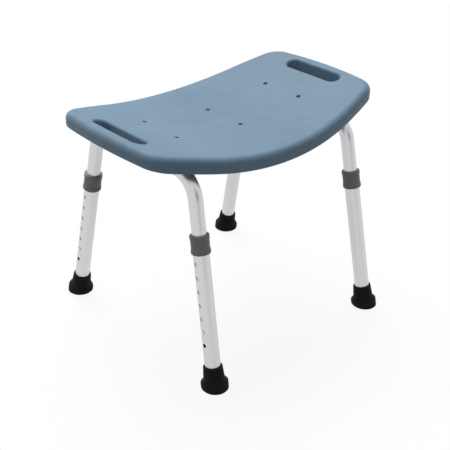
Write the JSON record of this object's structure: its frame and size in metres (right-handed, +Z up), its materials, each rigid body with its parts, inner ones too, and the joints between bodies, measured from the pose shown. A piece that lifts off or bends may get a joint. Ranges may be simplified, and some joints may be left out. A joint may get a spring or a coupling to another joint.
{
  "type": "bath seat",
  "caption": "Backless bath seat: saddle-shaped moulded seat with hand-hold slots on splayed aluminium legs that slide, lock with sprung buttons and end in rubber tips.",
  "frame": {"origin": "on the floor under the middle of the seat", "axes": "+X along the seat's length, to the right as seen from the front; -Y is the front; +Z up"},
  "size_m": [0.554, 0.471, 0.4399],
  "materials": {
    "seat_plastic": "pale grey-blue polyethylene with a fine pebble grain",
    "tube_aluminium": "satin anodised tube",
    "clamp_aluminium": "mill finish pressed strip",
    "collar_plastic": "mid grey nylon",
    "tip_rubber": "matt black moulded rubber",
    "button_steel": "turned stainless steel",
    "spring_steel": "rolled spring strip",
    "screw_steel": "zinc plated"
  },
  "bodies": {
    "seat": {"seat_shell": "seat_plastic", "right_leg_frame": "tube_aluminium", "left_leg_frame": "tube_aluminium", "clamp_screws": "screw_steel", "front_right_clamp": "clamp_aluminium", "front_right_button_spring": "spring_steel", "front_left_clamp": "clamp_aluminium", "front_left_button_spring": "spring_steel", "rear_right_clamp": "clamp_aluminium", "rear_right_button_spring": "spring_steel", "rear_left_clamp": "clamp_aluminium", "rear_left_button_spring": "spring_steel"},
    "front_right_lower_leg": {"front_right_leg": "tube_aluminium", "front_right_collar": "collar_plastic", "front_right_foot": "tip_rubber", "front_right_washer": "screw_steel"},
    "front_right_push_button": {"front_right_button": "button_steel"},
    "front_left_lower_leg": {"front_left_leg": "tube_aluminium", "front_left_collar": "collar_plastic", "front_left_foot": "tip_rubber", "front_left_washer": "screw_steel"},
    "front_left_push_button": {"front_left_button": "button_steel"},
    "rear_right_lower_leg": {"rear_right_leg": "tube_aluminium", "rear_right_collar": "collar_plastic", "rear_right_foot": "tip_rubber", "rear_right_washer": "screw_steel"},
    "rear_right_push_button": {"rear_right_button": "button_steel"},
    "rear_left_lower_leg": {"rear_left_leg": "tube_aluminium", "rear_left_collar": "collar_plastic", "rear_left_foot": "tip_rubber", "rear_left_washer": "screw_steel"},
    "rear_left_push_button": {"rear_left_button": "button_steel"}
  },
  "joints": [
    {"name": "front_right_leg_slide", "type": "slide", "parent": "seat", "child": "front_right_lower_leg", "axis": [0.0376, -0.1959, -0.9799], "range_m": [-0.0254, 0.127]},
    {"name": "front_right_button_press", "type": "slide", "parent": "seat", "child": "front_right_push_button", "axis": [-0.9993, 0, -0.0384], "range_m": [0, 0.0042], "stiffness_N_per_m": 1200, "springref_m": -0.001, "deforming": ["front_right_button_spring"]},
    {"name": "front_left_leg_slide", "type": "slide", "parent": "seat", "child": "front_left_lower_leg", "axis": [-0.0376, -0.1959, -0.9799], "range_m": [-0.0254, 0.127]},
    {"name": "front_left_button_press", "type": "slide", "parent": "seat", "child": "front_left_push_button", "axis": [0.9993, 0, -0.0384], "range_m": [0, 0.0042], "stiffness_N_per_m": 1200, "springref_m": -0.001, "deforming": ["front_left_button_spring"]},
    {"name": "rear_right_leg_slide", "type": "slide", "parent": "seat", "child": "rear_right_lower_leg", "axis": [0.0376, 0.1959, -0.9799], "range_m": [-0.0254, 0.127]},
    {"name": "rear_right_button_press", "type": "slide", "parent": "seat", "child": "rear_right_push_button", "axis": [-0.9993, 0, -0.0384], "range_m": [0, 0.0042], "stiffness_N_per_m": 1200, "springref_m": -0.001, "deforming": ["rear_right_button_spring"]},
    {"name": "rear_left_leg_slide", "type": "slide", "parent": "seat", "child": "rear_left_lower_leg", "axis": [-0.0376, 0.1959, -0.9799], "range_m": [-0.0254, 0.127]},
    {"name": "rear_left_button_press", "type": "slide", "parent": "seat", "child": "rear_left_push_button", "axis": [0.9993, 0, -0.0384], "range_m": [0, 0.0042], "stiffness_N_per_m": 1200, "springref_m": -0.001, "deforming": ["rear_left_button_spring"]}
  ]
}
